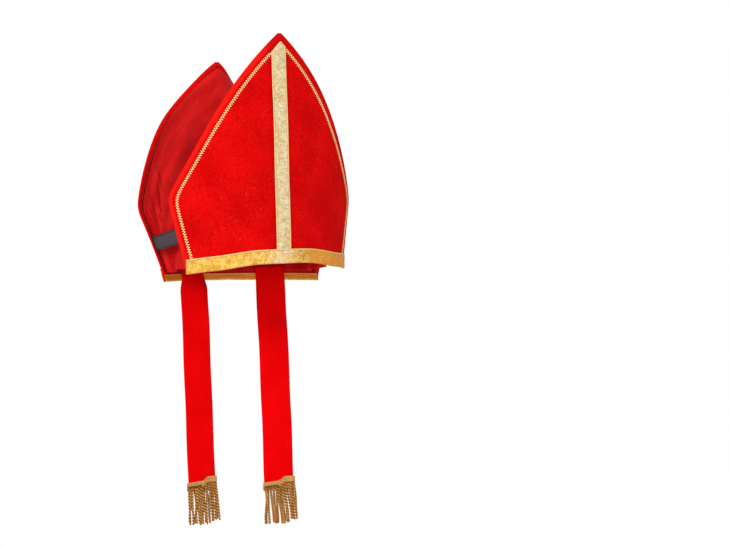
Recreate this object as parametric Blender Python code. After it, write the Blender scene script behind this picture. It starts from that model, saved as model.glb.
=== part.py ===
"""A bishop mitre: two stiff velour panels, a satin web between them, and two fringed lappets.

Metres, +Z up. The origin is the middle of the head opening, at the height of the hems.
The front panel faces -Y, and the wearer's left is +X. Run it in Blender 4.5.
"""

import math
from collections import namedtuple

import bmesh
import bpy
from mathutils import Vector

# One panel as it is cut, flat: s runs across from its middle, t up from its hem.
HEM_HALF = 0.1268
SHOULDER_HALF = 0.1550
SHOULDER_HEIGHT = 0.0905
SHOULDER_ROUNDING = 0.0125
PEAK_RADIUS = 0.0045
PANEL_WALL = 0.0024
MOUTH_DEPTH = 0.178

# How full each panel's long curve to the peak is cut, and how far below its middle.
# How it stands: bend is one over its radius at the hem and at the peak, curl turns the
# sides of the peak back, bow and skew bring the peak inward and sideways, hem_drop lowers
# the hem's corners and lower all of it.
Panel = namedtuple(
    "Panel",
    "name side height fullness shift hem_bend peak_bend curl lean bow skew hem_drop lower",
)
FRONT = Panel(
    name="front", side=-1, height=0.2985, fullness=0.0406, shift=0.0406, hem_bend=6.50,
    peak_bend=5.25, curl=0.0, lean=math.radians(5.4), bow=0.006, skew=0.0, hem_drop=0.0042,
    lower=0.0,
)
BACK = Panel(
    name="back", side=1, height=0.3052, fullness=0.0701, shift=0.0490, hem_bend=6.58,
    peak_bend=-1.65, curl=54.4, lean=math.radians(4.5), bow=0.006, skew=0.0065,
    hem_drop=0.0057, lower=0.0066,
)
CURL_POWER = 8

# Pieces that touch keep this much air between them, and layers of bent cloth a little more.
GAP = 0.0003
LAYER_GAP = 0.0007
PANEL_COLUMNS = 20

# Satin: a lining inside each panel, and the web that joins the two.
SATIN = 0.0010
SEAM_INSET = 0.0083
LINING_INSET = 0.0093
LINING_BOTTOM = 0.0100
LINING_TOP = 0.262
WEB_BOTTOM = 0.0050
WEB_MOUTH_HALF = 0.106
WEB_CROWN = 0.095
WEB_SQUARENESS = 3.2
WEB_TURN = 3.5
WEB_SLACK = 0.0025
FOLD_HEIGHT = 0.0045
FOLD_COUNT = 5
FOLD_CENTRE = (0.126, 0.062)

# Gold ribbon bound over the hems, down the front and on the lappets.
RIBBON = 0.0010
HEM_OUTSIDE = 0.0170
HEM_INSIDE = 0.0095
HEM_FOLD = 0.0012
FRONT_RIBBON_HALF = 0.0098
FRONT_RIBBON_TIP = 0.2865
FRONT_RIBBON_TIP_HALF = 0.0008
FRONT_RIBBON_TIP_SLOPE = 0.90
FRONT_RIBBON_FOOT_SHIFT = 0.0018
FRONT_RIBBON_LEAN = 0.0176

# Elastic band across each side gap.
ELASTIC = 0.0012
ELASTIC_HALF = 0.009
ELASTIC_HEIGHT = 0.0435
ELASTIC_TAB = (0.0042, 0.0079)

# Lappets: velour strips sewn inside the back hem, gold ribbon on their outer side. Below
# the hem each keeps its own share of the hem's turn, the wearer's left one most of it.
LAPPET_WALL = 0.0022
LAPPET_HALF = 0.0203
LAPPET_CENTRE = 0.061
LAPPET_TOP = 0.014
LAPPET_SWING_DOWN = 0.026
LAPPET_UNTWIST = 0.026
LAPPET_SWAY = 0.0015
LAPPET_RIBBON_HALF = 0.0112
LAPPET_RIBBON_TOP = -0.0040
LAPPET_SEAT = PANEL_WALL / 2.0 + 2.0 * LAYER_GAP + SATIN + LAPPET_WALL / 2.0
Lappet = namedtuple("Lappet", "side mirror length kept_turn")
LAPPETS = (Lappet("left", 1.0, 0.2845, 0.80), Lappet("right", -1.0, 0.2785, 0.15))

# Fringe: a braided head with twisted cords that splay a little.
HEAD_HALF = 0.0215
HEAD_HEIGHT = 0.008
HEAD_WALL = 0.0034
CORD_COUNT = 11
CORD_LENGTH = 0.050
CORD_WALL = 0.0030
CORD_SPLAY = 1.16
CORD_SHARE = 0.42
CORD_UNEVEN = 0.05
CORD_TAPER = 0.12
SWAY_BY_CORD = 2.3
SWAY_DOWN_CORD = 4.0
CORD_SWAY = 0.0012
CORD_STEPS = 6


def smooth(value):
    """0 to 1 with level ends."""
    x = min(max(value, 0.0), 1.0)
    return x * x * (3.0 - 2.0 * x)


def spread(first, last, steps):
    """steps + 1 evenly spaced numbers."""
    return [first + (last - first) * i / steps for i in range(steps + 1)]


# The flat pattern and the bent surface ---------------------------------------------------


def peak_angle(panel):
    """Angle between a panel's axis and its edge at the peak."""
    rise = panel.height - SHOULDER_HEIGHT
    return math.atan((SHOULDER_HALF + panel.fullness + panel.shift) / rise)


def upper_half_width(panel, t):
    """Half width of a panel above its shoulder: the long curve, then the rounded peak."""
    angle = peak_angle(panel)
    centre = panel.height - PEAK_RADIUS
    if t > centre + PEAK_RADIUS * math.sin(angle):
        return math.sqrt(max(PEAK_RADIUS**2 - (t - centre) ** 2, 0.0))
    sharp_height = centre + PEAK_RADIUS / math.sin(angle)
    u = (t - SHOULDER_HEIGHT) / (sharp_height - SHOULDER_HEIGHT)
    curve = panel.fullness - panel.shift * (1.0 - 2.0 * u)
    return SHOULDER_HALF * (1.0 - u) + u * (1.0 - u) * curve


def half_width(panel, t):
    """Half width of a panel at height t: slanting side, rounded shoulder, then the curve."""
    from_shoulder = t - SHOULDER_HEIGHT
    if from_shoulder > SHOULDER_ROUNDING:
        return upper_half_width(panel, t)
    slope = (SHOULDER_HALF - HEM_HALF) / (SHOULDER_HEIGHT + panel.hem_drop)
    side = SHOULDER_HALF + slope * from_shoulder
    if from_shoulder < -SHOULDER_ROUNDING:
        return side
    joint = upper_half_width(panel, SHOULDER_HEIGHT + SHOULDER_ROUNDING)
    turn_in = joint - SHOULDER_HALF - slope * SHOULDER_ROUNDING
    share = (from_shoulder + SHOULDER_ROUNDING) / (2.0 * SHOULDER_ROUNDING)
    return side + turn_in * share**2


def bend_at(panel, t):
    """One over the radius of a panel's bend at height t."""
    high = max(t, 0.0) / panel.height
    bend = panel.hem_bend + (panel.peak_bend - panel.hem_bend) * t / panel.height
    return bend - panel.curl * high**CURL_POWER


def chord(turn):
    """Chord over arc of a bend through twice this angle."""
    return math.sin(turn) / turn if turn else 1.0


def surface(panel, s, t, out=0.0):
    """The point at (s, t) of a bent panel's middle, moved out of the hat by out."""

    def middle(s, t):
        turn = bend_at(panel, t) * s
        high = max(t, 0.0) / panel.height
        depth = MOUTH_DEPTH / 2.0 + t * math.sin(panel.lean) - panel.bow * high**2
        depth -= s * math.sin(turn / 2.0) * chord(turn / 2.0)
        x = s * chord(turn) + panel.skew * high**2
        return Vector((x, panel.side * depth, t * math.cos(panel.lean) - panel.lower))

    step = 0.0005
    across = middle(s + step, t) - middle(s - step, t)
    up = middle(s, t + step) - middle(s, t - step)
    normal = across.cross(up).normalized()
    if normal.y * panel.side < 0.0:
        normal.negate()
    return middle(s, t) + normal * out


def panel_grid(panel, heights, columns, inset=0.0, bottom=0.0):
    """(s, t) rows of a panel-shaped sheet, inset from the edge and raised from the hem."""
    rows = []
    for height in heights:
        row = []
        for p in spread(-1.0, 1.0, columns):
            level = 1.0 - min(height / SHOULDER_HEIGHT, 1.0)
            edge = half_width(panel, height)
            s = p * max(edge - inset, 0.0)
            drop = panel.hem_drop * (s / edge) ** 2 * level
            row.append((s, height + bottom * level - drop))
        rows.append(row)
    return rows


def half_outline(panel, inset, bottom, steps=80):
    """(s, t) points up one side of a panel, inset from its edge, evenly spaced to the axis."""
    edge = [
        (half_width(panel, t), t)
        for t in spread(-panel.hem_drop, panel.height, steps)
    ]
    points = []
    for (s0, t0), (s1, t1) in zip(edge, edge[1:]):
        length = math.hypot(s1 - s0, t1 - t0)
        s = (s0 + s1) / 2.0 - inset * (t1 - t0) / length
        t = (t0 + t1) / 2.0 + inset * (s1 - s0) / length
        if s > 0.0 and t > bottom and (not points or t > points[-1][1]):
            points.append((s, t))
    points.insert(0, (half_width(panel, bottom) - inset, bottom))
    slope = (points[-2][1] - points[-1][1]) / (points[-2][0] - points[-1][0])
    points.append((0.0, points[-1][1] - slope * points[-1][0]))
    return points


def along(points, fraction):
    """The point at this fraction of a polyline's length."""
    lengths = [math.dist(a, b) for a, b in zip(points, points[1:])]
    left = fraction * sum(lengths)
    for a, b, length in zip(points, points[1:], lengths):
        if left <= length:
            f = left / length
            return tuple(p + (q - p) * f for p, q in zip(a, b))
        left -= length
    return points[-1]


# Objects and materials -------------------------------------------------------------------


def material(name, colour, roughness, metallic=0.0):
    made = bpy.data.materials.new(name)
    made.use_nodes = True
    shader = made.node_tree.nodes["Principled BSDF"]
    shader.inputs["Base Color"].default_value = (*colour, 1.0)
    shader.inputs["Roughness"].default_value = roughness
    shader.inputs["Metallic"].default_value = metallic
    return made


def finish_object(name, shape, finish):
    """Makes the object of a finished bmesh, with faces pointing out and smooth shading."""
    bmesh.ops.recalc_face_normals(shape, faces=shape.faces)
    mesh = bpy.data.meshes.new(name)
    shape.to_mesh(mesh)
    shape.free()
    mesh.materials.append(finish)
    mesh.shade_smooth()
    mesh.set_sharp_from_angle(angle=math.radians(40.0))
    made = bpy.data.objects.new(name, mesh)
    bpy.context.scene.collection.objects.link(made)
    return made


def sheet(name, outer, inner, finish):
    """A thin closed solid between two grids of points with the same rows and columns."""
    shape = bmesh.new()
    faces = [[[shape.verts.new(p) for p in row] for row in grid] for grid in (outer, inner)]
    rows = len(outer)
    columns = len(outer[0])
    for grid in faces:
        for i in range(rows - 1):
            for j in range(columns - 1):
                corners = (grid[i][j], grid[i][j + 1], grid[i + 1][j + 1], grid[i + 1][j])
                shape.faces.new(corners)
    rim = [(0, j) for j in range(columns)]
    rim += [(i, columns - 1) for i in range(1, rows)]
    rim += [(rows - 1, j) for j in range(columns - 2, -1, -1)]
    rim += [(i, 0) for i in range(rows - 2, 0, -1)]
    for (i, j), (m, n) in zip(rim, rim[1:] + rim[:1]):
        shape.faces.new((faces[0][i][j], faces[0][m][n], faces[1][m][n], faces[1][i][j]))
    return finish_object(name, shape, finish)


def lofted(name, sections, finish):
    """A closed solid through closed sections with the same number of points."""
    shape = bmesh.new()
    rings = [[shape.verts.new(p) for p in section] for section in sections]
    for ring, following in zip(rings, rings[1:]):
        for a in range(len(ring)):
            b = (a + 1) % len(ring)
            shape.faces.new((ring[a], ring[b], following[b], following[a]))
    shape.faces.new(rings[0])
    shape.faces.new(rings[-1])
    return finish_object(name, shape, finish)


# Panels and their lining -----------------------------------------------------------------


def row_heights(panel):
    """Heights of the rows of a panel, closer together at the shoulder and at the peak."""
    low = SHOULDER_HEIGHT - SHOULDER_ROUNDING
    high = SHOULDER_HEIGHT + SHOULDER_ROUNDING
    above = spread(high, panel.height - 2.0 * PEAK_RADIUS, 7)
    centre = panel.height - PEAK_RADIUS
    peak = [centre + PEAK_RADIUS * math.sin(math.radians(a)) for a in (10, 50, 68, 82)]
    return spread(0.0, low, 3) + spread(low, high, 4)[1:] + above[1:] + peak


def build_panel(panel, velour):
    grid = panel_grid(panel, row_heights(panel), PANEL_COLUMNS)
    sides = [
        [[surface(panel, s, t, out) for s, t in row] for row in grid]
        for out in (PANEL_WALL / 2.0, -PANEL_WALL / 2.0)
    ]
    return sheet(panel.name + "_panel", *sides, velour)


def build_lining(panel, satin):
    heights = [t for t in row_heights(panel) if t < LINING_TOP - LAYER_GAP] + [LINING_TOP]
    grid = panel_grid(panel, heights, PANEL_COLUMNS, LINING_INSET, LINING_BOTTOM)
    face = -PANEL_WALL / 2.0 - LAYER_GAP
    sides = [
        [[surface(panel, s, t, out) for s, t in row] for row in grid]
        for out in (face, face - SATIN)
    ]
    return sheet(panel.name + "_lining", *sides, satin)


# The satin web ---------------------------------------------------------------------------


def web_valley(fraction):
    """(x, z) of the web's lowest line: up the side gap, then over the head."""
    angle = fraction * math.pi / 2.0
    power = 2.0 / WEB_SQUARENESS
    x = WEB_MOUTH_HALF * max(math.cos(angle), 0.0) ** power
    z = WEB_BOTTOM + (WEB_CROWN - WEB_BOTTOM) * math.sin(angle) ** power
    return x, z


def web_fold(s, t):
    """0 to 1: soft folds that fan out from the elastic's top corner."""
    centre_s, centre_t = FOLD_CENTRE
    angle = math.atan2(t - centre_t, centre_s - abs(s))
    distance = math.hypot(t - centre_t, centre_s - abs(s))
    wave = 0.5 - 0.5 * math.cos(2.0 * math.pi * FOLD_COUNT * angle / (math.pi / 2.0))
    return wave * smooth(distance / 0.05) * smooth((0.24 - distance) / 0.12)


def web_half_row(panel, mirror, fraction, steps):
    """One cut through the web, from its seam on this panel to the valley."""
    seam_s, seam_t = along(half_outline(panel, SEAM_INSET, WEB_BOTTOM), fraction)
    x, z = web_valley(fraction)
    t_valley = (z + panel.lower) / math.cos(panel.lean)
    bend = bend_at(panel, t_valley)
    s_valley = math.asin(bend * x) / bend
    valley = Vector((x * mirror, 0.0, z))
    seat = -PANEL_WALL / 2.0 - 2.0 * LAYER_GAP - 1.5 * SATIN
    row = []
    for v in spread(0.0, 1.0, steps):
        s = seam_s + (s_valley - seam_s) * v
        t = seam_t + (t_valley - seam_t) * v
        slack = WEB_SLACK * smooth(v / 0.3) + FOLD_HEIGHT * web_fold(s, t) * smooth(v / 0.25)
        row.append(surface(panel, s * mirror, t, seat - slack).lerp(valley, v**WEB_TURN))
    return row


def build_web(satin):
    across = 20
    half_steps = 8
    rows = []
    for u in spread(-1.0, 1.0, 2 * across):
        fraction = 1.0 - abs(u)
        mirror = 1.0 if u > 0.0 else -1.0
        front = web_half_row(FRONT, mirror, fraction, half_steps)
        back = web_half_row(BACK, mirror, fraction, half_steps)
        rows.append(front + back[-2::-1])
    above = []
    below = []
    last = len(rows) - 1
    for i, row in enumerate(rows):
        end = len(row) - 1
        above.append([])
        below.append([])
        for j, point in enumerate(row):
            ahead = rows[min(i + 1, last)][j] - rows[max(i - 1, 0)][j]
            side = row[min(j + 1, end)] - row[max(j - 1, 0)]
            normal = ahead.cross(side).normalized()
            above[-1].append(point + normal * SATIN / 2.0)
            below[-1].append(point - normal * SATIN / 2.0)
    return sheet("satin_web", above, below, satin)


# Gold ribbons ----------------------------------------------------------------------------


def build_hem_ribbon(panel, gold):
    """Ribbon folded over the hem: its section is a U with a rounded fold."""
    near = PANEL_WALL / 2.0 + GAP
    far = near + RIBBON
    fold = far - HEM_FOLD
    under = -GAP - RIBBON
    above = under + HEM_FOLD + 2.0 * GAP
    section = (
        (HEM_OUTSIDE, far),
        (above, far),
        (under, fold),
        (under, -fold),
        (above, -far),
        (HEM_INSIDE, -far),
        (HEM_INSIDE, -near),
        (-GAP, -near),
        (-GAP, near),
        (HEM_OUTSIDE, near),
    )
    sections = []
    for p in spread(-1.0, 1.0, PANEL_COLUMNS):
        ring = []
        for rise, out in section:
            t = rise - panel.hem_drop * p * p
            s = p * (half_width(panel, t) + GAP)
            ring.append(surface(panel, s, t, out))
        sections.append(ring)
    return lofted(panel.name + "_hem_ribbon", sections, gold)


def front_ribbon_sides(t):
    """Both edges of the upright ribbon at height t: it leans a little to the wearer's right."""
    middle = FRONT_RIBBON_FOOT_SHIFT - FRONT_RIBBON_LEAN * t
    slant = FRONT_RIBBON_TIP_SLOPE * (FRONT_RIBBON_TIP - t) + FRONT_RIBBON_TIP_HALF
    return max(middle - FRONT_RIBBON_HALF, -slant), min(middle + FRONT_RIBBON_HALF, slant)


def build_front_ribbon(gold):
    """Upright ribbon on the front panel, its top folded to a point."""
    foot = HEM_OUTSIDE + GAP
    shoulder = FRONT_RIBBON_TIP - 2.0 * FRONT_RIBBON_HALF
    heights = spread(foot, shoulder, 13) + spread(shoulder, FRONT_RIBBON_TIP, 8)[1:]
    near = PANEL_WALL / 2.0 + GAP
    sides = []
    for out in (near + RIBBON, near):
        rows = []
        for t in heights:
            edges = spread(*front_ribbon_sides(t), 2)
            rows.append([surface(FRONT, s, t, out) for s in edges])
        sides.append(rows)
    return sheet("front_ribbon", *sides, gold)


# Elastic bands ---------------------------------------------------------------------------


def build_elastic(name, mirror, black):
    """A band from one panel's inner border straight across the gap to the other's."""
    seat = -PANEL_WALL / 2.0 - GAP
    sides = []
    for out in (seat, seat - ELASTIC):
        rows = []
        for t in spread(ELASTIC_HEIGHT - ELASTIC_HALF, ELASTIC_HEIGHT + ELASTIC_HALF, 2):
            ends = []
            for panel in (FRONT, BACK):
                edge = half_width(panel, t)
                tab = [surface(panel, mirror * (edge - inset), t, out) for inset in ELASTIC_TAB]
                ends.append(tab)
            front, back = ends
            crossing = [front[0].lerp(back[0], f) for f in spread(0.0, 1.0, 5)[1:-1]]
            rows.append([front[1], front[0], *crossing, back[0], back[1]])
        sides.append(rows)
    return sheet(name, *sides, black)


# Lappets ---------------------------------------------------------------------------------


def lappet_frame(lappet, height):
    """Middle, across and out directions of a lappet at this height above the back hem."""
    s = lappet.mirror * LAPPET_CENTRE
    top = surface(BACK, s, 0.0, -LAPPET_SEAT)
    lost = (1.0 - lappet.kept_turn) * smooth(-height / LAPPET_UNTWIST)
    turn = BACK.hem_bend * s * (1.0 - lost)
    hung = smooth(-height / (2.0 * LAPPET_SWING_DOWN))
    sway = LAPPET_SWAY * math.sin(-math.pi * height / lappet.length) * hung
    middle = Vector((top.x, top.y - sway, top.z + height))
    across = Vector((math.cos(turn), -math.sin(turn), 0.0))
    outward = Vector((math.sin(turn), math.cos(turn), 0.0))
    return middle, across, outward


def lappet_point(lappet, x, height, out):
    """A point of a lappet: on the back panel's inside above the hem, hanging free below."""
    middle, across, outward = lappet_frame(lappet, height)
    hanging = middle + across * x + outward * out
    sewn = surface(BACK, lappet.mirror * LAPPET_CENTRE + x, height, out - LAPPET_SEAT)
    return sewn.lerp(hanging, smooth(-height / LAPPET_SWING_DOWN))


def hanging_heights(lappet):
    """Heights below the hem, closer together where the lappet turns out of its curve."""
    turning = spread(-LAPPET_UNTWIST / 4.0, -LAPPET_UNTWIST, 3)
    return turning + spread(-1.5 * LAPPET_UNTWIST, -lappet.length + GAP, 8)


def lappet_sheet(name, lappet, heights, half, columns, near, far, finish):
    across = spread(-half, half, columns)
    sides = [
        [[lappet_point(lappet, x, height, out) for x in across] for height in heights]
        for out in (far, near)
    ]
    return sheet(name + lappet.side, *sides, finish)


def build_lappet(lappet, velour):
    heights = [LAPPET_TOP, LAPPET_TOP / 2.0, 0.0] + hanging_heights(lappet)
    half_wall = LAPPET_WALL / 2.0
    return lappet_sheet(
        "lappet_", lappet, heights, LAPPET_HALF, 3, -half_wall, half_wall, velour
    )


def build_lappet_ribbon(lappet, gold):
    heights = [LAPPET_RIBBON_TOP] + hanging_heights(lappet)
    near = LAPPET_WALL / 2.0 + LAYER_GAP
    return lappet_sheet(
        "lappet_ribbon_", lappet, heights, LAPPET_RIBBON_HALF, 2, near, near + RIBBON, gold
    )


# Fringes ---------------------------------------------------------------------------------


def build_fringe(lappet, gold):
    """A braided head in one body with its cords, each cord a tapering strip of its own sway."""
    middle, across, outward = lappet_frame(lappet, -lappet.length)
    shape = bmesh.new()
    pitch = 2.0 * HEAD_HALF / CORD_COUNT
    cord_half = CORD_SHARE * pitch

    def vert(x, y, down):
        return shape.verts.new(middle + across * x + outward * y - Vector((0.0, 0.0, down)))

    def ring(x, y, half, wall, down):
        corners = ((-half, -wall), (half, -wall), (half, wall), (-half, wall))
        return [vert(x + dx, y + dy, down) for dx, dy in corners]

    edges = [-HEAD_HALF]
    for i in range(CORD_COUNT):
        centre = -HEAD_HALF + (i + 0.5) * pitch
        edges += [centre - cord_half, centre + cord_half]
    edges.append(HEAD_HALF)
    half_head = HEAD_WALL / 2.0
    columns = [
        [vert(x, -half_head, 0.0), vert(x, half_head, 0.0)]
        + [vert(x, half_head, HEAD_HEIGHT), vert(x, -half_head, HEAD_HEIGHT)]
        for x in edges
    ]
    shape.faces.new(columns[0])
    shape.faces.new(columns[-1])
    for index, (left, right) in enumerate(zip(columns, columns[1:])):
        is_cord = index % 2 == 1
        for a in range(4):
            b = (a + 1) % 4
            if a == 2 and is_cord:
                continue
            shape.faces.new((left[a], left[b], right[b], right[a]))
        if not is_cord:
            continue
        number = index // 2
        start = (left[3], right[3], right[2], left[2])
        x0 = -HEAD_HALF + (number + 0.5) * pitch
        length = CORD_LENGTH * (1.0 - CORD_UNEVEN * (number * 5 % 3))
        for step in range(1, CORD_STEPS + 1):
            f = step / CORD_STEPS
            x = x0 * (1.0 + (CORD_SPLAY - 1.0) * f)
            y = CORD_SWAY * math.sin(SWAY_BY_CORD * number + SWAY_DOWN_CORD * f) * f
            taper = 1.0 - CORD_TAPER * f
            following = ring(
                x, y, cord_half * taper, CORD_WALL / 2.0 * taper, HEAD_HEIGHT + length * f
            )
            for a in range(4):
                b = (a + 1) % 4
                shape.faces.new((start[a], start[b], following[b], following[a]))
            start = following
        shape.faces.new(start)
    return finish_object("fringe_" + lappet.side, shape, gold)


# The whole hat ---------------------------------------------------------------------------


def build_mitre():
    for old in list(bpy.data.objects):
        bpy.data.objects.remove(old, do_unlink=True)
    velour = material("red velour", (0.70, 0.012, 0.012), 0.85)
    satin = material("red satin", (0.58, 0.015, 0.020), 0.38)
    gold = material("gold brocade", (0.72, 0.48, 0.16), 0.40, 0.6)
    cord = material("gold cord", (0.60, 0.36, 0.10), 0.45, 0.5)
    black = material("black elastic", (0.035, 0.034, 0.038), 0.80)

    for panel in (FRONT, BACK):
        build_panel(panel, velour)
        build_lining(panel, satin)
        build_hem_ribbon(panel, gold)
    build_web(satin)
    build_front_ribbon(gold)
    for lappet in LAPPETS:
        build_elastic("elastic_" + lappet.side, lappet.mirror, black)
        build_lappet(lappet, velour)
        build_lappet_ribbon(lappet, gold)
        build_fringe(lappet, cord)


build_mitre()
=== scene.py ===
"""A bishop mitre, dressed piece by piece in the order in which it is put together."""

import math
from collections import namedtuple
from math import pi

import bpy
import numpy as np
from mathutils import Matrix, Vector


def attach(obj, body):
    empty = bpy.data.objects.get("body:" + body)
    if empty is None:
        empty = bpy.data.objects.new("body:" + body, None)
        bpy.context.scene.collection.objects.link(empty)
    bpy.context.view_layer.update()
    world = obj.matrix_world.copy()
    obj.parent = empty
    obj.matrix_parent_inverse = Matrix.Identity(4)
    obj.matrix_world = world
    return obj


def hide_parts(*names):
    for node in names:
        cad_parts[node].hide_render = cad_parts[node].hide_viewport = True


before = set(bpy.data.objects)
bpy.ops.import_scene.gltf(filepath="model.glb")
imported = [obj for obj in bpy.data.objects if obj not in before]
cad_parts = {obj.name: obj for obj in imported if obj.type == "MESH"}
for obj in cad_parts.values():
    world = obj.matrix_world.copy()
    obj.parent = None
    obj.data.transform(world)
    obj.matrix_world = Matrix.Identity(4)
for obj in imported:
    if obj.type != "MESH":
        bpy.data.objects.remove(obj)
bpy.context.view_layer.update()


# The room: a plain white floor and soft white light all round, with one large lamp high on
# the wearer's right and two weak ones in front, on the left and low down. The camera looks
# slightly up at the hat from its front right, as if it hung at head height.

CENTRE = Vector((0.0, 0.0, 0.150))
TURN = math.radians(-27.98)
TILT = math.radians(-3.95)
ROLL = math.radians(2.67)
DISTANCE = 2.7217
ASIDE = 0.1478
BELOW = -0.1637
PICTURE_WIDTH = 730
LENS_IN_PIXELS = 2034.3
SENSOR = 36.0
FLOOR_HEIGHT = -0.60
FLOOR_REACH = 60.0
WHITE = (1.0, 1.0, 1.0, 1.0)
ROOM_LIGHT = 0.55
LIT_POINT = Vector((0.0, 0.0, 0.05))

turned = Matrix.Rotation(TURN, 3, "Z") @ Matrix.Rotation(pi / 2 - TILT, 3, "X")
place = CENTRE + turned @ Vector((ASIDE, BELOW, DISTANCE))
camera = bpy.data.objects.new("camera", bpy.data.cameras.new("camera"))
camera.data.sensor_width = SENSOR
camera.data.lens = LENS_IN_PIXELS / PICTURE_WIDTH * SENSOR
camera.data.clip_end = 200.0
axes = (turned @ Matrix.Rotation(-ROLL, 3, "Z")).to_4x4()
camera.matrix_world = Matrix.Translation(place) @ axes
bpy.context.scene.collection.objects.link(camera)
bpy.context.scene.camera = camera

for name, place, size, watts in (
    ("key_light", (-2.7, -2.1, 1.5), 1.0, 54.0),
    ("right_light", (1.5, -2.7, 0.3), 0.5, 7.0),
    ("low_light", (-1.2, -2.6, -0.45), 0.8, 13.0),
):
    lamp = bpy.data.lights.new(name, "AREA")
    lamp.shape = "DISK"
    lamp.size = size
    lamp.energy = watts
    made = bpy.data.objects.new(name, lamp)
    made.location = place
    towards = LIT_POINT - Vector(place)
    made.rotation_euler = towards.to_track_quat("-Z", "Y").to_euler()
    bpy.context.scene.collection.objects.link(made)


def fill(node, inputs):
    """Sets a shader node's inputs to these values, or joins them to these sockets."""
    for socket, value in inputs.items():
        if isinstance(value, bpy.types.Node):
            value = value.outputs[0]
        if isinstance(value, bpy.types.NodeSocket):
            node.id_data.links.new(value, node.inputs[socket])
        else:
            node.inputs[socket].default_value = value
    return node


def add(tree, kind, inputs=None, **settings):
    made = tree.nodes.new("ShaderNode" + kind)
    for option, value in settings.items():
        setattr(made, option, value)
    return fill(made, inputs or {})


def white_to_camera(tree, kind, lit, output):
    """Shows plain white where the camera looks straight at it, and is lit for all the rest."""
    seen = add(tree, "LightPath").outputs["Is Camera Ray"]
    white = add(tree, kind, {"Color": WHITE, "Strength": 1.0})
    mixed = add(tree, "MixShader", {0: seen, 1: lit, 2: white})
    fill(tree.nodes[output], {"Surface": mixed})


room = bpy.data.worlds.new("white_room")
room.use_nodes = True
lit = fill(room.node_tree.nodes["Background"], {"Color": WHITE, "Strength": ROOM_LIGHT})
white_to_camera(room.node_tree, "Background", lit, "World Output")
bpy.context.scene.world = room
bpy.context.scene.view_settings.view_transform = "Standard"

paint = bpy.data.materials.new("white_floor_paint")
paint.use_nodes = True
tree = paint.node_tree
place_on_floor = add(tree, "TexCoord").outputs["Object"]
cloudy = add(tree, "TexNoise", {"Vector": place_on_floor, "Scale": 0.7, "Detail": 2.0})
shades = add(tree, "ValToRGB", {"Fac": cloudy})
shades.color_ramp.elements[0].color = (0.90, 0.90, 0.90, 1.0)
shades.color_ramp.elements[1].color = (0.94, 0.94, 0.94, 1.0)
lit = fill(tree.nodes["Principled BSDF"], {"Roughness": 0.9, "Base Color": shades})
white_to_camera(tree, "Emission", lit, "Material Output")
corners = [
    (x * FLOOR_REACH, y * FLOOR_REACH, FLOOR_HEIGHT)
    for x, y in ((-1, -1), (1, -1), (1, 1), (-1, 1))
]
mesh = bpy.data.meshes.new("floor")
mesh.from_pydata(corners, [], [(0, 1, 2, 3)])
mesh.materials.append(paint)
floor = bpy.data.objects.new("floor", mesh)
bpy.context.scene.collection.objects.link(floor)


# The two panels: red velour over stiff interlining, cut to one tall pointed shape, bent round
# the head and turned over to the inside along the edge. The pile is short and mottled. The
# front hem dips towards the wearer's right.

HEM_HALF = 0.1268
SHOULDER_HALF = 0.1550
SHOULDER_HEIGHT = 0.0905
SHOULDER_ROUNDING = 0.0125
PEAK_RADIUS = 0.0045
PANEL_WALL = 0.0024
MOUTH_DEPTH = 0.178
EDGE_ROLL = 0.0009
ROLL_REACH = 0.0030
RIPPLE = 0.0005
ZIGZAG_INSET = 0.0116
ZIGZAG_FOOT = 0.0172
ZIGZAG_FOOT_DROP = 0.85
CORNER_CUT = 0.010
PRESSED = 0.00030
PRESSED_REACH = 0.0030
RIGHT_DIP = 0.0045
LEFT_LIFT = 0.0022
CORNER_LIFT = 0.0020
DIP_HEIGHT = 0.09
FRONT_RIBBON_HALF = 0.0098
FRONT_RIBBON_FOOT_SHIFT = 0.0018
FRONT_RIBBON_LEAN = 0.0176
Panel = namedtuple(
    "Panel",
    "name side height fullness shift hem_bend peak_bend curl lean bow skew hem_drop lower",
)
FRONT = Panel(
    name="front", side=-1, height=0.2985, fullness=0.0406, shift=0.0406, hem_bend=6.50,
    peak_bend=5.25, curl=0.0, lean=math.radians(5.4), bow=0.006, skew=0.0, hem_drop=0.0042,
    lower=0.0,
)
BACK = Panel(
    name="back", side=1, height=0.3052, fullness=0.0701, shift=0.0490, hem_bend=6.58,
    peak_bend=-1.65, curl=54.4, lean=math.radians(4.5), bow=0.006, skew=0.0065,
    hem_drop=0.0057, lower=0.0066,
)
CURL_POWER = 8


def half_width(panel, t):
    """Half width of a flat panel at height t: slanting side, round shoulder, curve, peak."""
    t = np.asarray(t, float)
    slope = (SHOULDER_HALF + panel.fullness + panel.shift) / (panel.height - SHOULDER_HEIGHT)
    angle = math.atan(slope)
    centre = panel.height - PEAK_RADIUS
    rise = centre + PEAK_RADIUS / math.sin(angle) - SHOULDER_HEIGHT

    def curve(from_shoulder):
        u = from_shoulder / rise
        fuller = u * (1 - u) * (panel.fullness - panel.shift * (1 - 2 * u))
        return SHOULDER_HALF * (1 - u) + fuller

    from_shoulder = t - SHOULDER_HEIGHT
    cap = np.sqrt(np.maximum(PEAK_RADIUS**2 - np.maximum(t - centre, 0) ** 2, 0))
    upper = np.where(t > centre + PEAK_RADIUS * math.sin(angle), cap, curve(from_shoulder))
    slope = (SHOULDER_HALF - HEM_HALF) / (SHOULDER_HEIGHT + panel.hem_drop)
    side = SHOULDER_HALF + slope * from_shoulder
    turn_in = curve(SHOULDER_ROUNDING) - SHOULDER_HALF - slope * SHOULDER_ROUNDING
    share = (from_shoulder + SHOULDER_ROUNDING) / (2 * SHOULDER_ROUNDING)
    lower = side + turn_in * np.maximum(share, 0) ** 2
    return np.where(from_shoulder > SHOULDER_ROUNDING, upper, lower)


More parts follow.
